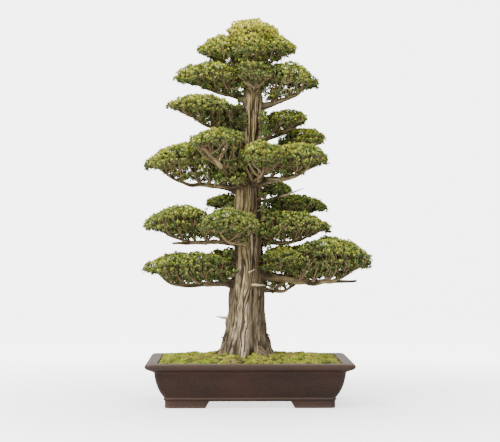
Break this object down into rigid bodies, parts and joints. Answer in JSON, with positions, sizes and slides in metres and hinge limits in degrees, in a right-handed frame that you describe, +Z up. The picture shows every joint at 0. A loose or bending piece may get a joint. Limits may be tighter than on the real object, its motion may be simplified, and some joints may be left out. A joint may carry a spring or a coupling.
{
  "type": "bonsai conifer tree in a pot",
  "caption": "Formal upright bonsai conifer: straight tapering trunk with a root flare, tiers of clipped foliage clouds on near-level boughs, in a shallow footed rectangular pot with moss",
  "frame": {"origin": "on the surface that the pot's feet stand on, under the middle of the whole plant's reach in X and Y", "axes": "+Z up along the trunk, +X to the viewer's right along the pot's long side, the show side faces -Y"},
  "size_m": [0.5984, 0.3864, 0.9888],
  "materials": {
    "pot": "unglazed, fired dark brown, satin",
    "moss": "rough moss over fired clay granules",
    "bark": "rough fibrous bark",
    "deadwood": "bare weathered wood",
    "foliage": "matt green scale foliage"
  },
  "bodies": {
    "root": {"pot": "pot", "soil": "moss", "trunk": "bark", "bough_fifth_back": "bark", "bough_fifth_left": "bark", "bough_fifth_right": "bark", "bough_fourth_back": "bark", "bough_fourth_left": "bark", "bough_fourth_right": "bark", "bough_low_back": "bark", "bough_low_left": "bark", "bough_low_right": "bark", "bough_low_right_back": "bark", "bough_second_back": "bark", "bough_second_front_left": "bark", "bough_second_left": "bark", "bough_second_right": "bark", "bough_second_right_back": "bark", "bough_third_back": "bark", "bough_third_front": "bark", "bough_third_front_left": "bark", "bough_third_left": "bark", "bough_third_right": "bark", "bough_third_right_back": "bark", "dead_stub_front": "deadwood", "dead_stub_left": "deadwood", "dead_stub_right": "deadwood", "foliage_crown_back": "foliage", "foliage_crown_front": "foliage", "foliage_crown_left": "foliage", "foliage_crown_right": "foliage", "foliage_crown_top": "foliage", "foliage_fifth_back": "foliage", "foliage_fifth_front": "foliage", "foliage_fifth_left": "foliage", "foliage_fifth_right": "foliage", "foliage_fourth_back": "foliage", "foliage_fourth_left": "foliage", "foliage_fourth_right": "foliage", "foliage_low_back": "foliage", "foliage_low_left": "foliage", "foliage_low_right": "foliage", "foliage_low_right_back": "foliage", "foliage_low_right_front": "foliage", "foliage_second_back": "foliage", "foliage_second_front_left": "foliage", "foliage_second_left": "foliage", "foliage_second_left_back": "foliage", "foliage_second_right": "foliage", "foliage_second_right_back": "foliage", "foliage_third_back": "foliage", "foliage_third_front": "foliage", "foliage_third_front_left": "foliage", "foliage_third_left": "foliage", "foliage_third_left_back": "foliage", "foliage_third_right": "foliage", "foliage_third_right_back": "foliage", "foliage_third_right_low": "foliage"}
  },
  "joints": []
}
